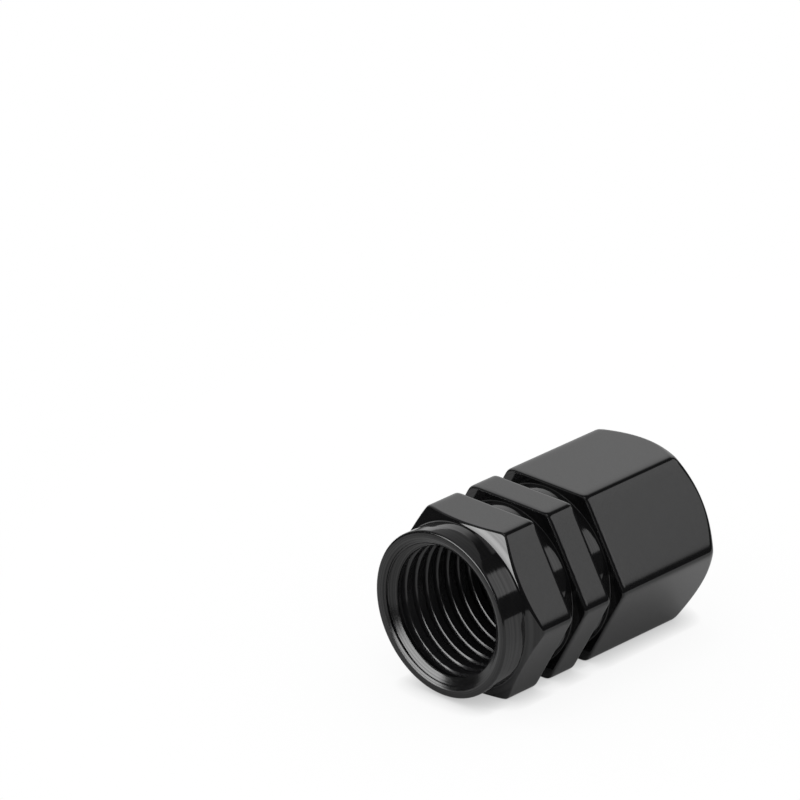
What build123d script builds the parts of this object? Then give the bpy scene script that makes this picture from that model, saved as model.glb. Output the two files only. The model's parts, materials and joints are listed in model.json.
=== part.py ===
from build123d import *
import os
from math import cos, pi, radians, tan

# Hexagonal metal cap for a tyre valve stem, turned from 3/8 inch hexagon bar, with a rubber washer
# at the bottom of its bore. Sizes are in millimetres and degrees.
# The cap lies on one of its flats: +Z is up, the open mouth faces -Y and the closed crown faces +Y.
# The origin is the middle of the bottom of the cap's box.
# Stations along the axis are measured from the mouth towards the crown.

# Bore, at the major diameter of the stem's thread: 0.305 inch with 32 turns to the inch.
# Past the thread's last turn it goes on at the drill's size, which is the thread's minor diameter.
thread_diameter = 7.75
thread_height = 0.425
thread_runout = 0.5
crown_thickness = 4.9

# Walls outside the bore: at the hexagon's flats, at the round collar and at the floor of the grooves
flat_wall = 0.8875
collar_wall = 0.712
groove_wall = 0.638

# Lengths of the turned zones, from the mouth to the crown
collar_length = 1.6
front_hexagon_length = 2.645
groove_width = 0.985
band_length = 1.885
long_hexagon_length = 7.88

# Rim of the mouth: countersink of the bore and broken outer edge of the collar
countersink_width = 0.375
countersink_angle = 45.0
collar_edge_break = 0.12

# Chamfers, as angles from the plane across the axis
front_chamfer_angle = 28.0
crown_chamfer_angle = 40.0
crown_land = 0.315

# Rounding of the bar's long edges, and of the edges that the grooves and the crown's chamfer leave
hexagon_sides = 6
corner_round = 0.45
groove_edge_round = 0.2
crown_edge_round = 0.15

# Rubber washer pressed into the drilled end of the bore
washer_thickness = 1.2
washer_hole_diameter = 3.6
washer_clearance = 0.05

# Radii worked out from the bore and the walls
bore_radius = thread_diameter / 2
drill_radius = bore_radius - thread_height
flat_radius = bore_radius + flat_wall
sharp_corner_radius = flat_radius / cos(pi / hexagon_sides)
collar_radius = bore_radius + collar_wall
groove_radius = bore_radius + groove_wall
crown_radius = flat_radius - crown_land

# Stations along the axis
front_hexagon_end = collar_length + front_hexagon_length
band_start = front_hexagon_end + groove_width
band_end = band_start + band_length
long_hexagon_start = band_end + groove_width
total_length = long_hexagon_start + long_hexagon_length
bore_depth = total_length - crown_thickness
washer_face = bore_depth - washer_thickness
thread_end = washer_face - thread_runout

# The axis: its height above the ground and the plane of the mouth
axis_height = flat_radius
mouth_y = -total_length / 2
mouth_centre = (0, mouth_y, axis_height)
cap_axis = Axis(mouth_centre, (0, 1, 0))
across_axis = Plane(origin=mouth_centre, x_dir=(1, 0, 0), z_dir=(0, 1, 0))
along_axis = Plane(origin=mouth_centre, x_dir=(1, 0, 0), z_dir=(0, 0, 1))
tolerance = 0.001


def cone_run(radial_width, angle):
    """Axial length of a cone that is this wide, at an angle from the plane across the axis."""
    return radial_width * tan(radians(angle))


def crown_run():
    """Length of the crown's chamfer where it meets the bar's corners, before those are rounded."""
    return cone_run(sharp_corner_radius - crown_radius, crown_chamfer_angle)


def turned(points):
    """Solid of revolution about the cap's axis, from (radius, station) points."""
    profile = make_face(Polyline(*points, close=True))
    return revolve(along_axis * profile, axis=cap_axis)


def hexagon_bar():
    """Bar stock with rounded long edges; two of its six flats are level."""
    outline = RegularPolygon(flat_radius, hexagon_sides, major_radius=False)
    outline = fillet(outline.vertices(), corner_round)
    return extrude(across_axis * outline, amount=total_length)


def turned_envelope():
    """What the lathe leaves of the bar: collar, chamfers, two grooves and the crown."""
    front_run = cone_run(sharp_corner_radius - collar_radius, front_chamfer_angle)
    return turned([
        (0, 0),
        (collar_radius - collar_edge_break, 0),
        (collar_radius, collar_edge_break),
        (collar_radius, collar_length),
        (sharp_corner_radius, collar_length + front_run),
        (sharp_corner_radius, front_hexagon_end),
        (groove_radius, front_hexagon_end),
        (groove_radius, band_start),
        (sharp_corner_radius, band_start),
        (sharp_corner_radius, band_end),
        (groove_radius, band_end),
        (groove_radius, long_hexagon_start),
        (sharp_corner_radius, long_hexagon_start),
        (sharp_corner_radius, total_length - crown_run()),
        (crown_radius, total_length),
        (0, total_length),
    ])


def bore():
    """Blind bore: countersunk mouth, plain wall for the thread and the drill's pocket behind it."""
    countersink_run = cone_run(countersink_width, countersink_angle)
    return turned([
        (0, 0),
        (bore_radius + countersink_width, 0),
        (bore_radius, countersink_run),
        (bore_radius, thread_end),
        (drill_radius, thread_end),
        (drill_radius, bore_depth),
        (0, bore_depth),
    ])


def groove_edges(solid):
    """Edges of the flats at the two grooves; their rounding runs on round the bar's corners."""
    edges = ShapeList()
    for station in (front_hexagon_end, band_start, band_end, long_hexagon_start):
        y = mouth_y + station
        ring = solid.edges().filter_by_position(Axis.Y, y - tolerance, y + tolerance)
        edges += ring.filter_by(GeomType.LINE)
    return edges


def crown_edges(solid):
    """The scalloped edge between the flats and the crown's chamfer."""
    crown_y = mouth_y + total_length
    ring = solid.edges().filter_by_position(Axis.Y, crown_y - crown_run(), crown_y - tolerance)
    return ring.filter_by(GeomType.LINE, reverse=True)


def cap_body():
    solid = hexagon_bar() & turned_envelope()
    solid = fillet(groove_edges(solid), groove_edge_round)
    solid = fillet(crown_edges(solid), crown_edge_round)
    return solid - bore()


def sealing_washer():
    """Flat ring that seats on the bottom of the bore and seals on the end of the stem."""
    outer_radius = drill_radius - washer_clearance
    hole_radius = washer_hole_diameter / 2
    return turned([
        (hole_radius, washer_face),
        (outer_radius, washer_face),
        (outer_radius, bore_depth),
        (hole_radius, bore_depth),
    ])


os.makedirs("parts", exist_ok=True)
export_step(cap_body(), "parts/cap_body.step")
export_step(sealing_washer(), "parts/sealing_washer.step")
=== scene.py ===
import json
import math

import bmesh
import bpy
import numpy as np
from mathutils import Matrix, Vector


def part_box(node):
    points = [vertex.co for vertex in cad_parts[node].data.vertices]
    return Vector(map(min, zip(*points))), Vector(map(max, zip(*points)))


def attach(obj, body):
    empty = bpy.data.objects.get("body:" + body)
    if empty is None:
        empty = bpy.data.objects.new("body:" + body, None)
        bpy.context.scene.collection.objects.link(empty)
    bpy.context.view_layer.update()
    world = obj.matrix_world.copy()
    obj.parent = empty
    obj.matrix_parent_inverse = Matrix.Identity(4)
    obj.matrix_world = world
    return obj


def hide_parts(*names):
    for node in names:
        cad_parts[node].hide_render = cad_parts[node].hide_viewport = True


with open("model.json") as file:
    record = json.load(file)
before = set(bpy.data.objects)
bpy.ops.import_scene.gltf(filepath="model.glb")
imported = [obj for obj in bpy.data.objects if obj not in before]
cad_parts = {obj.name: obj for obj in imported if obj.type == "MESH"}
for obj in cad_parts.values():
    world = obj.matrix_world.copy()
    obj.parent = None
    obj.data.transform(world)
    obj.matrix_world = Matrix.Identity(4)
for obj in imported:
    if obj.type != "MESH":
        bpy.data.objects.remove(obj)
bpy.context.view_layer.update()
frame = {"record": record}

# The dressed tyre valve cap: a turned and threaded metal cap with a rubber washer, on a white floor.
# Sizes are in millimetres. Stations run along the axis from the mouth (-Y) to the crown (+Y), and
# angles go round it from +X towards +Z.
MM = 0.001
INCH = 25.4
WHITE = (1, 1, 1, 1)
BLACK = (0, 0, 0, 1)

# Sizes that the frame gives
cap_low, cap_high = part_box("cap_body")
washer_low, washer_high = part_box("sealing_washer")
stem_thread = next(mount for mount in frame["record"]["mounts"] if mount["name"] == "stem_thread")
MOUTH_Y = cap_low.y / MM
LENGTH = (cap_high.y - cap_low.y) / MM
AXIS_Z = (cap_high.z + cap_low.z) / 2 / MM
FLAT_RADIUS = (cap_high.z - cap_low.z) / 2 / MM
THREAD_RADIUS = stem_thread["dims"]["r_mm"]
WASHER_RADIUS = (washer_high.x - washer_low.x) / 2 / MM
WASHER_FACE = washer_low.y / MM - MOUTH_Y
BORE_DEPTH = washer_high.y / MM - MOUTH_Y

# Hexagon bar; a higher sharpness gives corners that are less round
SIDES = 6
CORNER_SHARPNESS = 48

# Outside of the cap: walls outside the thread, the crown's land inside the flats, lengths of the turned
# zones, and chamfers as angles from the plane across the axis
COLLAR_WALL = 0.712
GROOVE_WALL = 0.638
CROWN_LAND = 0.315
COLLAR_LENGTH = 1.6
FRONT_HEXAGON_LENGTH = 2.645
GROOVE_WIDTH = 0.985
BAND_LENGTH = 1.885
FRONT_CHAMFER = math.radians(28)
CROWN_CHAMFER = math.radians(40)
COLLAR_RADIUS = THREAD_RADIUS + COLLAR_WALL
GROOVE_RADIUS = THREAD_RADIUS + GROOVE_WALL
CROWN_RADIUS = FLAT_RADIUS - CROWN_LAND
FRONT_HEXAGON_END = COLLAR_LENGTH + FRONT_HEXAGON_LENGTH
BAND_START = FRONT_HEXAGON_END + GROOVE_WIDTH
BAND_END = BAND_START + BAND_LENGTH
LONG_HEXAGON_START = BAND_END + GROOVE_WIDTH

# Mouth of the bore: rim face, edge break, short step, then the countersink that runs into the thread.
# The widths are how far the mouth opens outside the thread's radius.
RIM_WIDTH = 0.325
STEP_WIDTH = 0.105
RIM_INNER_RADIUS = THREAD_RADIUS + RIM_WIDTH
STEP_RADIUS = THREAD_RADIUS + STEP_WIDTH
EDGE_BREAK_END = 0.11
STEP_END = 0.175
COUNTERSINK = math.radians(29)
COUNTERSINK_START = 0.2
COUNTERSINK_BLEND = 0.1
MOUTH_END = 0.6
ENTRY_ROWS = 44
HELIX_START = 1.4

# Thread: right-handed V grooves that are deepest in the first turn and fade in the last, and behind them
# the drilled pocket that holds the washer
TURNS_PER_INCH = 32
PITCH = INCH / TURNS_PER_INCH
CREST_HEIGHT = 0.315
CREST_RADIUS = THREAD_RADIUS - CREST_HEIGHT
CREST_STATION = 2.642
THREAD_DEPTH = 0.29
ENTRY_DEPTH = 0.45
ENTRY_FADE = (0.4, 1.35)
THREAD_FLANK = math.radians(30)
FLANK_SLOPE = 1 / math.tan(THREAD_FLANK)
ROOT_HALF_WIDTH = 0.015
THREAD_EDGE = 0.011
FADE_START = 8.9
HELIX_END = 9.5
WASHER_CLEARANCE = 0.05
POCKET_RADIUS = WASHER_RADIUS + WASHER_CLEARANCE
WASHER_HOLE_RADIUS = 1.8

# Roundings of the turned edges, as the length that they take from each side of the corner; a pair gives
# the side before the corner and the side after it
FINE_EDGE = 0.03
STEP_EDGE = 0.015
RIM_EDGE = 0.1
CHAMFER_EDGE = 0.1
REAR_EDGE = (0.2, 0.1)
LEAD_EDGE = (0.08, 0.3)
INNER_CORNER = 0.06
COLLAR_EDGE = 0.12
CROWN_EDGE = 0.12
CROWN_SHOULDER = 0.3
WASHER_EDGE = 0.2

# Mesh: columns for each half side of the hexagon, which are closer together at its corners, points in a
# rounding, the most that it takes of a side, and how far from it a row holds the surface beside it flat
COLUMNS_PER_HALF_SIDE = 25
CORNER_GRADING = 0.12
GRADING_POWER = 3
ARC_POINTS = 5
ROUNDING_SHARE = 0.45
GUARD = 0.03
GUARD_SHARE = 0.04
SHORTEST_SIDE = 1e-9
WELD_DISTANCE = 0.0002

# Finishes of the metal, in the order of the mesh's material slots: darkest and palest shade of the coat,
# ranges of roughness and of specular level, depth of the grain, and number and depth of the tool marks
TURNED, FLAT, BORE, MOUTH = range(4)
COAT = (0.0035, 0.0075)
BORE_COAT = (0.012, 0.024)
FINISHES = (
    {"name": "black_turned", "shades": COAT, "roughness": (0.05, 0.1), "specular": (0.2, 0.8),
     "grain_depth": 0.0004, "marks_per_mm": 6.0, "mark_depth": 0.0018},
    {"name": "black_flats", "shades": COAT, "roughness": (0.07, 0.12), "specular": (0.38, 0.62),
     "grain_depth": 0.0005},
    {"name": "black_bore", "shades": BORE_COAT, "roughness": (0.12, 0.22), "specular": (0.4, 0.6),
     "grain_depth": 0.0001, "marks_per_mm": 8.0, "mark_depth": 0.0004},
    {"name": "black_mouth", "shades": COAT, "roughness": (0.14, 0.24), "specular": (0.1, 0.9),
     "grain_depth": 0.0012, "marks_per_mm": 9.0, "mark_depth": 0.0016},
)
COAT_BLUE = 1.06
COAT_IOR = 1.5

# Noise of the metal's colour, roughness and relief, as features to the millimetre and levels of detail,
# and the unevenness of the tool marks
COAT_GRAIN = (1.6, 3.0)
GLOSS_GRAIN = (5.0, 4.0)
SURFACE_GRAIN = (14.0, 2.0)
GRAIN_ROUGHNESS = 0.6
MARK_DETAIL = 3.0
MARK_ROUGHNESS = 0.55

# Rubber of the washer: darkest and palest colour, range of roughness, depth of the relief, and the noise
# of each
RUBBER_COLOURS = ((0.012, 0.012, 0.012), (0.028, 0.027, 0.026))
RUBBER_COLOUR_GRAIN = (3.0, 4.0)
RUBBER_ROUGHNESS = (0.55, 0.8)
RUBBER_ROUGHNESS_GRAIN = (8.0, 3.0)
RUBBER_SURFACE_GRAIN = (12.0, 3.0)
RUBBER_GRAIN_DEPTH = 0.004

# Camera, fitted to the photograph: viewing angles, focal length in pixels, and the place in the picture
# and distance of the point on the axis at the mouth
IMAGE_SIZE = 800
SENSOR_WIDTH = 36.0
FOCAL_PIXELS = 7000
AZIMUTH = math.radians(44.42)
ELEVATION = math.radians(23.885)
ROLL = math.radians(-1.03)
MOUTH_PIXEL = (440.8, 614.6)
MOUTH_DEPTH = 361.1
MOUTH_STATION = 0.08
CLIP_START = 10.0

# Floor: size, colour, the share of it that takes the shadow, how far the camera and the gloss see it
# lifted, and the painted contact shadow: reach and lowest level of the darkening of the lift where the cap
# touches it
FLOOR_CENTRE = (8.0, 14.0)
FLOOR_RADIUS = 45.0
FLOOR_SEGMENTS = 96
FLOOR_COLOUR = 0.8
FLOOR_ROUGHNESS = 0.9
FLOOR_SHADOW = 0.14
FLOOR_LIFT = 0.905
FLOOR_GLOSS_LIFT = 0.03
CONTACT_SHADOW_REACH = 1.2
CONTACT_SHADOW_LEVEL = 0.49

# Light: a white background, a plain dome, a lamp overhead, and the panels in a dim room that the gloss
# shows. A panel has the azimuth of its middle, half width, lowest and highest elevation and soft edge, in
# degrees, and its level.
BACKGROUND_LEVEL = 1.0
DOME_LEVEL = 0.75
ROOM_LEVEL = 0.04
LAMP_HEIGHT = 500.0
LAMP_SIZE = 300.0
LAMP_RADIANCE = 1.2
PANELS = {
    "softbox": (-106, 24, 0, 36, 1.5, 8.0),
    "back right": (54, 19, 17, 38.5, 1, 1.28),
    "back left": (142, 44, -3, 42, 7, 0.95),
}

# A card that only the gloss shows, which keeps the softbox off the cap's upper flats
CARD_STATION = 1.5
CARD_LOW = 9.75
CARD_HIGH = 60.0
CARD_HALF_WIDTH = 60.0
CARD_LEVEL = 0.35


# Shapes

def placed(name, data):
    """A new object in the scene."""
    made = bpy.data.objects.new(name, data)
    bpy.context.scene.collection.objects.link(made)
    return made


def column_angles():
    """Angles of the mesh's columns, close together where the hexagon's corners are."""
    half_side = math.pi / SIDES
    share = np.linspace(0, 1, COLUMNS_PER_HALF_SIDE + 1)
    from_corner = half_side * (CORNER_GRADING * share + (1 - CORNER_GRADING) * share ** GRADING_POWER)
    side = np.concatenate([from_corner[:-1], 2 * half_side - from_corner[:0:-1]])
    return np.concatenate([side + corner * 2 * half_side for corner in range(SIDES)])


def hexagon_radius(angles):
    """Distance from the axis to the bar's surface: six flats that run softly into rounded corners."""
    flats = (np.arange(SIDES) + 0.5) * 2 * math.pi / SIDES
    facing = np.maximum(np.cos(angles - flats[:, None]), 0) ** CORNER_SHARPNESS
    return FLAT_RADIUS / facing.sum(axis=0) ** (1 / CORNER_SHARPNESS)


def rounded(corners, rounding):
    """Rows of points along a profile, with its inner corners rounded.

    The corners are an array (corners, columns, 2), and the lengths of the roundings are another
    (2 sides, inner corners, columns).
    """
    middle = corners[1:-1]
    back = corners[:-2] - middle
    ahead = corners[2:] - middle
    back_length = np.maximum(np.linalg.norm(back, axis=2, keepdims=True), SHORTEST_SIDE)
    ahead_length = np.maximum(np.linalg.norm(ahead, axis=2, keepdims=True), SHORTEST_SIDE)
    reach = np.minimum(ROUNDING_SHARE * np.stack([back_length, ahead_length]), rounding[..., None])
    start = middle + back / back_length * reach[0]
    end = middle + ahead / ahead_length * reach[1]
    start_guard = start + back * np.minimum(GUARD / back_length, GUARD_SHARE)
    end_guard = end + ahead * np.minimum(GUARD / ahead_length, GUARD_SHARE)
    rows = [corners[0]]
    for a, b, c, before, after in zip(start, middle, end, start_guard, end_guard):
        rows.append(before)
        for t in np.linspace(0, 1, ARC_POINTS):
            rows.append((1 - t) ** 2 * a + 2 * t * (1 - t) * b + t ** 2 * c)
        rows.append(after)
    rows.append(corners[-1])
    return np.array(rows)


class Skin:
    """Gathers grids of points into one welded mesh."""

    def __init__(self):
        self.points, self.runs, self.quads, self.finishes = [], [], [], []
        self.count = 0

    def add(self, radius, station, angles, finishes, turn_shift=0):
        """A grid of rows of points round the axis, with a finish for each strip between two rows.

        The end of a row joins the start of the row that is turn_shift rows before it.
        """
        radius, station, angles = np.broadcast_arrays(radius, station, angles)
        across, height = radius * np.cos(angles), AXIS_Z + radius * np.sin(angles)
        points = np.stack([across, MOUTH_Y + station, height], axis=-1)
        rows, columns = radius.shape
        index = self.count + np.arange(rows * columns).reshape(rows, columns)
        self.count += rows * columns
        joined = index[np.maximum(np.arange(rows) - turn_shift, 0), 0]
        beside = np.concatenate([index[:, 1:], joined[:, None]], axis=1)
        quads = np.stack([index[:-1], index[1:], beside[1:], beside[:-1]], axis=-1)
        self.points.append(points.reshape(-1, 3) * MM)
        self.runs.append((station - radius).reshape(-1))
        self.quads.append(quads.reshape(-1, 4))
        self.finishes.append(np.repeat(finishes, columns))

    def build(self, name, materials):
        mesh = bpy.data.meshes.new(name)
        mesh.from_pydata(np.concatenate(self.points).tolist(), [], np.concatenate(self.quads).tolist())
        run = mesh.attributes.new("profile_run", "FLOAT", "POINT")
        run.data.foreach_set("value", np.concatenate(self.runs).astype(np.float32))
        mesh.polygons.foreach_set("material_index", np.concatenate(self.finishes).astype(np.int32))
        for material in materials:
            mesh.materials.append(material)
        form = bmesh.new()
        form.from_mesh(mesh)
        bmesh.ops.remove_doubles(form, verts=form.verts, dist=WELD_DISTANCE * MM)
        bmesh.ops.dissolve_degenerate(form, edges=form.edges, dist=WELD_DISTANCE * MM)
        bmesh.ops.recalc_face_normals(form, faces=form.faces)
        form.to_mesh(mesh)
        form.free()
        mesh.shade_smooth()
        return placed(name, mesh)


def add_profile(skin, corners, angles):
    """Adds a turned surface, from corners (radius, station, rounding, finish after the corner).

    Where a rounding joins two finishes, it takes the one before it.
    """
    radii, stations, lengths, finish_after = zip(*corners)
    path = np.array([np.broadcast_arrays(r, s, angles)[:2] for r, s in zip(radii, stations)])
    pairs = [length if isinstance(length, tuple) else (length, length) for length in lengths[1:-1]]
    rounding = np.array([[np.broadcast_to(length, angles.shape) for length in pair] for pair in pairs])
    rows = rounded(path.transpose(0, 2, 1), rounding.transpose(1, 0, 2))
    finishes = [finish_after[0]]
    for before, after in zip(finish_after[:-2], finish_after[1:-1]):
        finishes += [before] * ARC_POINTS + [after] * 2
    skin.add(rows[..., 0], rows[..., 1], angles, finishes)


def countersink_radius(station):
    return STEP_RADIUS - (station - STEP_END) / math.tan(COUNTERSINK)


def thread_radius(station, angles):
    """Radius of the tapped wall: V grooves that are deepest at the mouth, cut back by the countersink.

    The two surfaces run softly into each other.
    """
    turn = (station - CREST_STATION) / PITCH + angles / (2 * math.pi)
    from_root = (0.5 - np.abs(turn - np.round(turn))) * PITCH
    entry = np.clip((ENTRY_FADE[1] - station) / (ENTRY_FADE[1] - ENTRY_FADE[0]), 0, 1)
    fade = np.clip((HELIX_END - station) / (HELIX_END - FADE_START), 0, 1)
    depth = (THREAD_DEPTH + (ENTRY_DEPTH - THREAD_DEPTH) * entry) * fade
    flank = np.maximum(from_root - ROOT_HALF_WIDTH, 0) * FLANK_SLOPE
    wall = CREST_RADIUS + np.maximum(depth - flank, 0)
    cone = countersink_radius(station)
    near = np.clip(1 - np.abs(wall - cone) / COUNTERSINK_BLEND, 0, 1)
    return np.maximum(wall, cone) + near ** 2 * COUNTERSINK_BLEND / 4


def outside_profile(angles):
    """Corners from the countersink over the rim and the outside to the middle of the crown."""
    hexagon = hexagon_radius(angles)
    front_run = (hexagon - COLLAR_RADIUS) * math.tan(FRONT_CHAMFER)
    crown_run = (hexagon - CROWN_RADIUS) * math.tan(CROWN_CHAMFER)
    to_corner = (hexagon - FLAT_RADIUS) / (hexagon.max() - FLAT_RADIUS)
    crown_shoulder = CHAMFER_EDGE + (CROWN_SHOULDER - CHAMFER_EDGE) * to_corner
    return [
        (thread_radius(COUNTERSINK_START, angles), COUNTERSINK_START, 0, MOUTH),
        (STEP_RADIUS, STEP_END, STEP_EDGE, MOUTH),
        (STEP_RADIUS, EDGE_BREAK_END, STEP_EDGE, MOUTH),
        (RIM_INNER_RADIUS, 0, RIM_EDGE, MOUTH),
        (COLLAR_RADIUS, 0, COLLAR_EDGE, TURNED),
        (COLLAR_RADIUS, COLLAR_LENGTH, INNER_CORNER, TURNED),
        (hexagon, COLLAR_LENGTH + front_run, CHAMFER_EDGE, FLAT),
        (hexagon, FRONT_HEXAGON_END, REAR_EDGE, TURNED),
        (GROOVE_RADIUS, FRONT_HEXAGON_END, INNER_CORNER, TURNED),
        (GROOVE_RADIUS, BAND_START, INNER_CORNER, TURNED),
        (hexagon, BAND_START, LEAD_EDGE, FLAT),
        (hexagon, BAND_END, REAR_EDGE, TURNED),
        (GROOVE_RADIUS, BAND_END, INNER_CORNER, TURNED),
        (GROOVE_RADIUS, LONG_HEXAGON_START, INNER_CORNER, TURNED),
        (hexagon, LONG_HEXAGON_START, LEAD_EDGE, FLAT),
        (hexagon, LENGTH - crown_run, crown_shoulder, TURNED),
        (CROWN_RADIUS, LENGTH, CROWN_EDGE, TURNED),
        (0, LENGTH, 0, TURNED),
    ]


def add_entry(skin, angles):
    """Level rows down the countersink and the thread's first turn, which runs out into it."""
    stations = np.linspace(COUNTERSINK_START, HELIX_START, ENTRY_ROWS)[:, None]
    finishes = np.where(stations[:-1, 0] < MOUTH_END, MOUTH, BORE)
    skin.add(thread_radius(stations, angles), stations, angles, finishes)


def add_thread(skin, angles):
    """Rows that follow the helix, from the level rows to the end of the thread."""
    edges = np.array([ROOT_HALF_WIDTH, ROOT_HALF_WIDTH + THREAD_DEPTH / FLANK_SLOPE])
    from_root = np.sort(np.concatenate([edges - THREAD_EDGE, edges, edges + THREAD_EDGE]))
    half = 0.5 - from_root[::-1] / PITCH
    phases = np.concatenate([half, 1 - half[::-1]])
    first = CREST_STATION - PITCH * math.ceil((CREST_STATION - HELIX_START) / PITCH)
    turns = math.ceil((HELIX_END - first) / PITCH) + 1
    turn_starts = first + PITCH * np.arange(turns)
    stations = (turn_starts[:, None] + PITCH * phases).reshape(-1, 1) - PITCH * angles / (2 * math.pi)
    stations = np.clip(stations, HELIX_START, HELIX_END)
    finishes = [BORE] * (len(stations) - 1)
    skin.add(thread_radius(stations, angles), stations, angles, finishes, turn_shift=len(phases))


def build_cap(materials):
    angles = column_angles()
    skin = Skin()
    add_profile(skin, outside_profile(angles), angles)
    add_entry(skin, angles)
    add_thread(skin, angles)
    add_profile(skin, [
        (CREST_RADIUS, HELIX_END, 0, BORE),
        (POCKET_RADIUS, HELIX_END, FINE_EDGE, BORE),
        (POCKET_RADIUS, BORE_DEPTH, INNER_CORNER, BORE),
        (0, BORE_DEPTH, 0, BORE),
    ], angles)
    return skin.build("threaded_cap", materials)


def build_washer(material):
    angles = column_angles()
    middle = (WASHER_HOLE_RADIUS + WASHER_RADIUS) / 2
    skin = Skin()
    add_profile(skin, [
        (middle, WASHER_FACE, 0, 0),
        (WASHER_RADIUS, WASHER_FACE, WASHER_EDGE, 0),
        (WASHER_RADIUS, BORE_DEPTH, FINE_EDGE, 0),
        (WASHER_HOLE_RADIUS, BORE_DEPTH, FINE_EDGE, 0),
        (WASHER_HOLE_RADIUS, WASHER_FACE, WASHER_EDGE, 0),
        (middle, WASHER_FACE, 0, 0),
    ], angles)
    return skin.build("washer_ring", [material])


# Shader nodes

def new_material(name):
    material = bpy.data.materials.new(name)
    material.use_nodes = True
    return material, material.node_tree.nodes, material.node_tree.links


def node(nodes, kind, **inputs):
    made = nodes.new("ShaderNode" + kind)
    for name, value in inputs.items():
        made.inputs[name.replace("_", " ")].default_value = value
    return made


def fill(links, socket, value):
    """Gives a socket its value, which is a number or another socket."""
    if isinstance(value, bpy.types.NodeSocket):
        links.new(value, socket)
    else:
        socket.default_value = value


def combined(nodes, links, operation, values):
    """Values taken together one after the other."""
    total = values[0]
    for value in values[1:]:
        step = nodes.new("ShaderNodeMath")
        step.operation = operation
        fill(links, step.inputs[0], total)
        fill(links, step.inputs[1], value)
        total = step.outputs[0]
    return total


def mixed(nodes, links, factor, a, b):
    mix = nodes.new("ShaderNodeMix")
    for name, value in (("Factor", factor), ("A", a), ("B", b)):
        fill(links, mix.inputs[name], value)
    return mix.outputs["Result"]


def ranged(nodes, links, source, low, high):
    """Maps a 0 to 1 value onto a range."""
    mapped = node(nodes, "MapRange", To_Min=low, To_Max=high)
    links.new(source, mapped.inputs["Value"])
    return mapped.outputs["Result"]


def smooth_step(nodes, links, source, low, high):
    """0 below low, 1 above high; low may be the greater, for a step down."""
    step = node(nodes, "MapRange", From_Min=low, From_Max=high)
    step.interpolation_type = "SMOOTHSTEP"
    links.new(source, step.inputs["Value"])
    return step.outputs["Result"]


def seen_rays(nodes, links, rays):
    """1 for the rays that look at the white surroundings themselves."""
    return combined(nodes, links, "MAXIMUM", [rays["Is Camera Ray"], rays["Is Transmission Ray"]])


# Materials

def grain(nodes, links, features_per_mm, detail):
    """Noise in the object's own space."""
    place = nodes.new("ShaderNodeTexCoord")
    scale = features_per_mm / MM
    noise = node(nodes, "TexNoise", Scale=scale, Detail=detail, Roughness=GRAIN_ROUGHNESS)
    links.new(place.outputs["Object"], noise.inputs["Vector"])
    return noise.outputs["Fac"]


def tool_marks(nodes, links, marks_per_mm):
    """Uneven lines that go round with the lathe tool, from the place along the turned profile."""
    run = nodes.new("ShaderNodeAttribute")
    run.attribute_name = "profile_run"
    lines = node(nodes, "TexNoise", Scale=marks_per_mm, Detail=MARK_DETAIL, Roughness=MARK_ROUGHNESS)
    lines.noise_dimensions = "1D"
    links.new(run.outputs["Fac"], lines.inputs["W"])
    return lines.outputs["Fac"]


def tinted(nodes, links, source, colours):
    """Colour that goes from the first to the second with a 0 to 1 value."""
    tint = nodes.new("ShaderNodeValToRGB")
    for element, colour in zip(tint.color_ramp.elements, colours):
        element.color = (*colour, 1)
    links.new(source, tint.inputs["Fac"])
    return tint.outputs["Color"]


def bumped(nodes, links, height, depth, below=None):
    """Normal of a relief, which may lie over the normal of a finer one."""
    bump = node(nodes, "Bump", Strength=1.0, Distance=depth * MM)
    links.new(height, bump.inputs["Height"])
    if below is not None:
        links.new(below, bump.inputs["Normal"])
    return bump.outputs["Normal"]


def black_metal(name, shades, roughness, specular, grain_depth, marks_per_mm=None, mark_depth=0.0):
    """Gloss black anodised aluminium: a dark coat with fine grain and, where turned, tool marks."""
    material, nodes, links = new_material(name)
    shader = nodes["Principled BSDF"].inputs
    shader["IOR"].default_value = COAT_IOR
    colours = [(shade, shade, shade * COAT_BLUE) for shade in shades]
    links.new(tinted(nodes, links, grain(nodes, links, *COAT_GRAIN), colours), shader["Base Color"])
    links.new(ranged(nodes, links, grain(nodes, links, *GLOSS_GRAIN), *roughness), shader["Roughness"])
    relief = grain(nodes, links, *SURFACE_GRAIN)
    normal = bumped(nodes, links, relief, grain_depth)
    if marks_per_mm:
        relief = tool_marks(nodes, links, marks_per_mm)
        normal = bumped(nodes, links, relief, mark_depth, normal)
    links.new(ranged(nodes, links, relief, *specular), shader["Specular IOR Level"])
    links.new(normal, shader["Normal"])
    return material


def rubber():
    """Matt black rubber with a fine moulded grain."""
    material, nodes, links = new_material("seal_rubber")
    shader = nodes["Principled BSDF"].inputs
    shade = grain(nodes, links, *RUBBER_COLOUR_GRAIN)
    links.new(tinted(nodes, links, shade, RUBBER_COLOURS), shader["Base Color"])
    gloss = grain(nodes, links, *RUBBER_ROUGHNESS_GRAIN)
    links.new(ranged(nodes, links, gloss, *RUBBER_ROUGHNESS), shader["Roughness"])
    relief = grain(nodes, links, *RUBBER_SURFACE_GRAIN)
    links.new(bumped(nodes, links, relief, RUBBER_GRAIN_DEPTH), shader["Normal"])
    return material


# Stage

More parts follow.
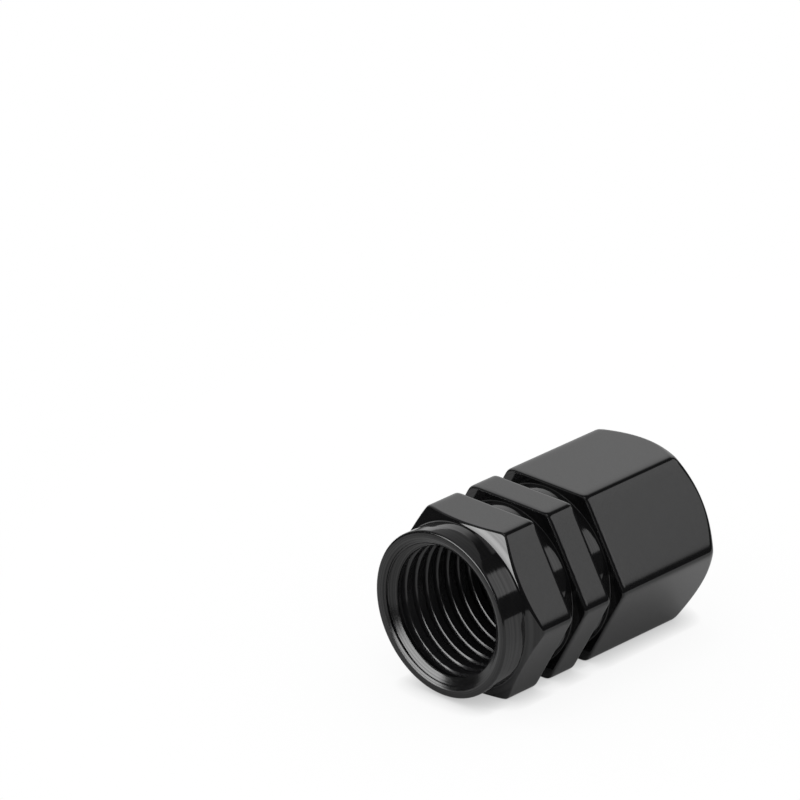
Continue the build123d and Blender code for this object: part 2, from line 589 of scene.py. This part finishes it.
def panel_light(nodes, links, height, heading, azimuth, half_width, low, high, soft, level):
    """Light of one white panel, from the sine of the elevation and the level direction."""
    toward = nodes.new("ShaderNodeVectorMath")
    toward.operation = "DOT_PRODUCT"
    links.new(heading, toward.inputs[0])
    middle = math.radians(azimuth)
    toward.inputs[1].default_value = (math.cos(middle), math.sin(middle), 0)
    edges = (
        (height, math.sin, low - soft, low + soft),
        (height, math.sin, high + soft, high - soft),
        (toward.outputs["Value"], math.cos, half_width + soft, half_width - soft),
    )
    factors = [
        smooth_step(nodes, links, source, measure(math.radians(dark)), measure(math.radians(lit)))
        for source, measure, dark, lit in edges
    ]
    return combined(nodes, links, "MULTIPLY", [*factors, level])


def build_world():
    """White behind the cap, a plain dome for its light, and white panels in a dim room for its gloss."""
    world = bpy.data.worlds.new("studio")
    bpy.context.scene.world = world
    world.use_nodes = True
    nodes, links = world.node_tree.nodes, world.node_tree.links
    direction = nodes.new("ShaderNodeTexCoord").outputs["Generated"]
    parts = nodes.new("ShaderNodeSeparateXYZ")
    links.new(direction, parts.inputs[0])
    level_part = nodes.new("ShaderNodeCombineXYZ")
    for axis in "XY":
        links.new(parts.outputs[axis], level_part.inputs[axis])
    heading = nodes.new("ShaderNodeVectorMath")
    heading.operation = "NORMALIZE"
    links.new(level_part.outputs[0], heading.inputs[0])
    panels = [
        panel_light(nodes, links, parts.outputs["Z"], heading.outputs[0], *panel)
        for panel in PANELS.values()
    ]
    room = combined(nodes, links, "ADD", [*panels, ROOM_LEVEL])
    rays = nodes.new("ShaderNodeLightPath").outputs
    unseen = mixed(nodes, links, rays["Is Glossy Ray"], DOME_LEVEL, room)
    strength = mixed(nodes, links, seen_rays(nodes, links, rays), unseen, BACKGROUND_LEVEL)
    background = nodes["Background"]
    background.inputs["Color"].default_value = WHITE
    links.new(strength, background.inputs["Strength"])


def build_floor():
    """Pale floor that keeps the cap's shadow, lifted to white for the camera and a little for the gloss,
    with a painted contact shadow that darkens the lift near the cap.
    """
    mesh = bpy.data.meshes.new("floor")
    form = bmesh.new()
    bmesh.ops.create_circle(form, cap_ends=True, segments=FLOOR_SEGMENTS, radius=FLOOR_RADIUS * MM)
    bmesh.ops.translate(form, verts=form.verts, vec=Vector((*FLOOR_CENTRE, 0)) * MM)
    form.to_mesh(mesh)
    form.free()
    material, nodes, links = new_material("floor_white")
    shader = nodes["Principled BSDF"].inputs
    shader["Roughness"].default_value = FLOOR_ROUGHNESS
    shader["Specular IOR Level"].default_value = 0.0
    shader["Emission Color"].default_value = WHITE
    rays = nodes.new("ShaderNodeLightPath").outputs
    seen = seen_rays(nodes, links, rays)
    shaded_part = FLOOR_COLOUR * FLOOR_SHADOW
    links.new(mixed(nodes, links, seen, FLOOR_COLOUR, shaded_part), shader["Base Color"])
    # Painted contact shadow: ambient occlusion darkens the camera's white lift of the floor where the cap
    # touches it
    painted_contact_shadow = node(nodes, "AmbientOcclusion", Distance=CONTACT_SHADOW_REACH * MM)
    lift_under_painted_shadow = ranged(nodes, links, painted_contact_shadow.outputs["AO"], CONTACT_SHADOW_LEVEL, 1.0)
    lifts = [
        combined(nodes, links, "MULTIPLY", [seen, lift_under_painted_shadow, FLOOR_LIFT]),
        combined(nodes, links, "MULTIPLY", [rays["Is Glossy Ray"], FLOOR_GLOSS_LIFT]),
    ]
    links.new(combined(nodes, links, "ADD", lifts), shader["Emission Strength"])
    mesh.materials.append(material)
    placed("floor", mesh)


def build_card():
    """Grey card across the axis, just above the cap's collar; the camera and the floor don't see it."""
    y = MOUTH_Y + CARD_STATION
    left, right = -CARD_HALF_WIDTH, CARD_HALF_WIDTH
    corners = [(left, y, CARD_LOW), (right, y, CARD_LOW), (right, y, CARD_HIGH), (left, y, CARD_HIGH)]
    mesh = bpy.data.meshes.new("front_card")
    mesh.from_pydata([Vector(corner) * MM for corner in corners], [], [range(len(corners))])
    material, nodes, _ = new_material("card_grey")
    shader = nodes["Principled BSDF"].inputs
    shader["Base Color"].default_value = BLACK
    shader["Specular IOR Level"].default_value = 0.0
    shader["Emission Color"].default_value = WHITE
    shader["Emission Strength"].default_value = CARD_LEVEL
    mesh.materials.append(material)
    card = placed("front_card", mesh)
    card.visible_camera = card.visible_diffuse = card.visible_transmission = card.visible_shadow = False


def build_lamp():
    """Large soft lamp straight above the cap."""
    size = LAMP_SIZE * MM
    light = bpy.data.lights.new("overhead_lamp", "AREA")
    light.size = size
    light.energy = LAMP_RADIANCE * math.pi * size ** 2
    lamp = placed("overhead_lamp", light)
    lamp.location = (0, 0, LAMP_HEIGHT * MM)
    lamp.visible_camera = False


def build_camera():
    """Camera at the photograph's angle, with the mouth's centre at its place in the picture."""
    forward = Vector((
        -math.cos(ELEVATION) * math.sin(AZIMUTH),
        math.cos(ELEVATION) * math.cos(AZIMUTH),
        -math.sin(ELEVATION),
    ))
    level_right = Vector((math.cos(AZIMUTH), math.sin(AZIMUTH), 0))
    level_up = level_right.cross(forward)
    right = level_right * math.cos(ROLL) + level_up * math.sin(ROLL)
    up = right.cross(forward)
    across = (MOUTH_PIXEL[0] - IMAGE_SIZE / 2) / FOCAL_PIXELS
    down = (MOUTH_PIXEL[1] - IMAGE_SIZE / 2) / FOCAL_PIXELS
    mouth = Vector((0, MOUTH_Y + MOUTH_STATION, AXIS_Z)) * MM
    place = mouth - MOUTH_DEPTH * MM * (forward + across * right - down * up)
    data = bpy.data.cameras.new("camera")
    data.sensor_width = SENSOR_WIDTH
    data.lens = SENSOR_WIDTH * FOCAL_PIXELS / IMAGE_SIZE
    data.clip_start = CLIP_START * MM
    camera = placed("camera", data)
    turn = Matrix((right, up, -forward)).transposed().to_4x4()
    camera.matrix_world = Matrix.Translation(place) @ turn
    bpy.context.scene.camera = camera


cap = build_cap([black_metal(**finish) for finish in FINISHES])
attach(cap, "root")
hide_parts("cap_body")

washer = build_washer(rubber())
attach(washer, "root")
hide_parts("sealing_washer")

build_floor()
build_lamp()
build_card()
build_world()
build_camera()
bpy.context.scene.view_settings.view_transform = "Standard"
